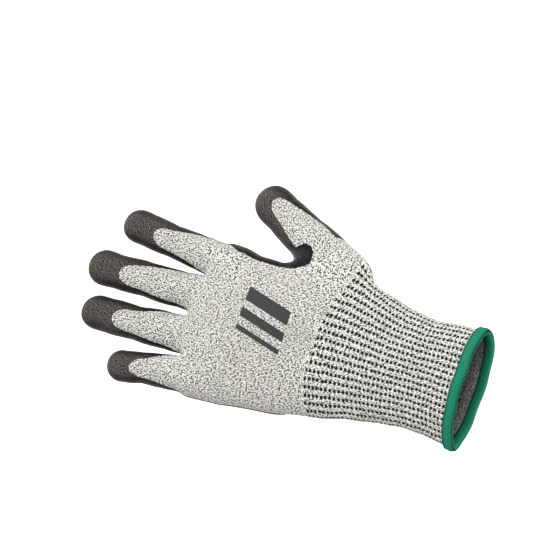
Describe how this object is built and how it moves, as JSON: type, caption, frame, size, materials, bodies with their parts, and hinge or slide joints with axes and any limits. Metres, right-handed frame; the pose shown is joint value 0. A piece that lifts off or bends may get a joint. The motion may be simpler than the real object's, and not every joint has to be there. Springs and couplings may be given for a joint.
{
  "type": "cut resistant glove",
  "caption": "Left work glove in melange knit with a dipped palm and fingertips, a long ribbed cuff and a bound cuff mouth, filled out as if worn.",
  "frame": {"origin": "centre of the cuff mouth, where the wearer's wrist goes in and holds the glove up", "axes": "+Z out of the cuff mouth, along the length, fingertips pointing to -Z; +Y out of the palm, -Y out of the back of the hand; -X towards the thumb, +X towards the little finger"},
  "size_m": [0.1322, 0.0335, 0.2503],
  "materials": {
    "knit": "melange jersey knit",
    "rib": "eyelet rib knit",
    "film": "semi-gloss dipped film with a knit grain",
    "binding": "ribbed binding tape",
    "thread": "sewing thread"
  },
  "bodies": {
    "cuff": {"cuff_rib": "rib", "cuff_binding": "binding", "binding_stitch_upper": "thread", "binding_stitch_lower": "thread"},
    "hand": {"hand_shell": "knit", "palm_film": "film"},
    "index_proximal": {"index_proximal_stall": "knit", "index_proximal_film": "film"},
    "index_middle": {"index_middle_stall": "knit", "index_middle_film": "film"},
    "index_distal": {"index_distal_stall": "knit", "index_distal_film": "film"},
    "middle_proximal": {"middle_proximal_stall": "knit", "middle_proximal_film": "film"},
    "middle_middle": {"middle_middle_stall": "knit", "middle_middle_film": "film"},
    "middle_distal": {"middle_distal_stall": "knit", "middle_distal_film": "film"},
    "ring_proximal": {"ring_proximal_stall": "knit", "ring_proximal_film": "film"},
    "ring_middle": {"ring_middle_stall": "knit", "ring_middle_film": "film"},
    "ring_distal": {"ring_distal_stall": "knit", "ring_distal_film": "film"},
    "little_proximal": {"little_proximal_stall": "knit", "little_proximal_film": "film"},
    "little_middle": {"little_middle_stall": "knit", "little_middle_film": "film"},
    "little_distal": {"little_distal_stall": "knit", "little_distal_film": "film"},
    "thumb_proximal": {"thumb_proximal_stall": "knit", "thumb_proximal_film": "film"},
    "thumb_distal": {"thumb_distal_stall": "knit", "thumb_distal_film": "film"}
  },
  "joints": [
    {"name": "wrist_fold", "type": "hinge", "parent": "cuff", "child": "hand", "pos_m": [0, 0, -0.084], "axis": [1, 0, 0], "range_deg": [-40, 40], "stiffness_Nm_per_rad": 0.02},
    {"name": "index_root_fold", "type": "hinge", "parent": "hand", "child": "index_proximal", "pos_m": [-0.03506, 0, -0.18494], "axis": [0.9931, 0, -0.1172], "range_deg": [-10, 50], "stiffness_Nm_per_rad": 0.002},
    {"name": "index_middle_fold", "type": "hinge", "parent": "index_proximal", "child": "index_middle", "pos_m": [-0.03727, 0, -0.20368], "axis": [0.9931, 0, -0.1172], "range_deg": [0, 70], "stiffness_Nm_per_rad": 0.002},
    {"name": "index_end_fold", "type": "hinge", "parent": "index_middle", "child": "index_distal", "pos_m": [-0.03923, 0, -0.22034], "axis": [0.9931, 0, -0.1172], "range_deg": [0, 42], "stiffness_Nm_per_rad": 0.002},
    {"name": "middle_root_fold", "type": "hinge", "parent": "hand", "child": "middle_proximal", "pos_m": [-0.01176, 0, -0.189], "axis": [0.9998, 0, -0.0183], "range_deg": [-10, 50], "stiffness_Nm_per_rad": 0.002},
    {"name": "middle_middle_fold", "type": "hinge", "parent": "middle_proximal", "child": "middle_middle", "pos_m": [-0.01217, 0, -0.21132], "axis": [0.9998, 0, -0.0183], "range_deg": [0, 70], "stiffness_Nm_per_rad": 0.002},
    {"name": "middle_end_fold", "type": "hinge", "parent": "middle_middle", "child": "middle_distal", "pos_m": [-0.01254, 0, -0.23116], "axis": [0.9998, 0, -0.0183], "range_deg": [0, 42], "stiffness_Nm_per_rad": 0.002},
    {"name": "ring_root_fold", "type": "hinge", "parent": "hand", "child": "ring_proximal", "pos_m": [0.01242, 0, -0.189], "axis": [0.9997, 0, 0.0241], "range_deg": [-10, 50], "stiffness_Nm_per_rad": 0.002},
    {"name": "ring_middle_fold", "type": "hinge", "parent": "ring_proximal", "child": "ring_middle", "pos_m": [0.01291, 0, -0.20966], "axis": [0.9997, 0, 0.0241], "range_deg": [0, 70], "stiffness_Nm_per_rad": 0.002},
    {"name": "ring_end_fold", "type": "hinge", "parent": "ring_middle", "child": "ring_distal", "pos_m": [0.01336, 0, -0.22803], "axis": [0.9997, 0, 0.0241], "range_deg": [0, 42], "stiffness_Nm_per_rad": 0.002},
    {"name": "little_root_fold", "type": "hinge", "parent": "hand", "child": "little_proximal", "pos_m": [0.03549, 0, -0.18493], "axis": [0.9926, 0, 0.1213], "range_deg": [-10, 50], "stiffness_Nm_per_rad": 0.002},
    {"name": "little_middle_fold", "type": "hinge", "parent": "little_proximal", "child": "little_middle", "pos_m": [0.03704, 0, -0.19763], "axis": [0.9926, 0, 0.1213], "range_deg": [0, 70], "stiffness_Nm_per_rad": 0.002},
    {"name": "little_end_fold", "type": "hinge", "parent": "little_middle", "child": "little_distal", "pos_m": [0.03842, 0, -0.20891], "axis": [0.9926, 0, 0.1213], "range_deg": [0, 42], "stiffness_Nm_per_rad": 0.002},
    {"name": "thumb_root_fold", "type": "hinge", "parent": "hand", "child": "thumb_proximal", "pos_m": [-0.06, 0.006, -0.1285], "axis": [0.8969, 0, -0.4423], "range_deg": [-10, 40], "stiffness_Nm_per_rad": 0.002},
    {"name": "thumb_end_fold", "type": "hinge", "parent": "thumb_proximal", "child": "thumb_distal", "pos_m": [-0.06864, 0.00744, -0.14602], "axis": [0.8969, 0, -0.4423], "range_deg": [0, 50], "stiffness_Nm_per_rad": 0.002}
  ],
  "couplings": [
    {"joint": "index_end_fold", "follows": "index_middle_fold", "ratio": 0.6},
    {"joint": "middle_end_fold", "follows": "middle_middle_fold", "ratio": 0.6},
    {"joint": "ring_end_fold", "follows": "ring_middle_fold", "ratio": 0.6},
    {"joint": "little_end_fold", "follows": "little_middle_fold", "ratio": 0.6}
  ]
}
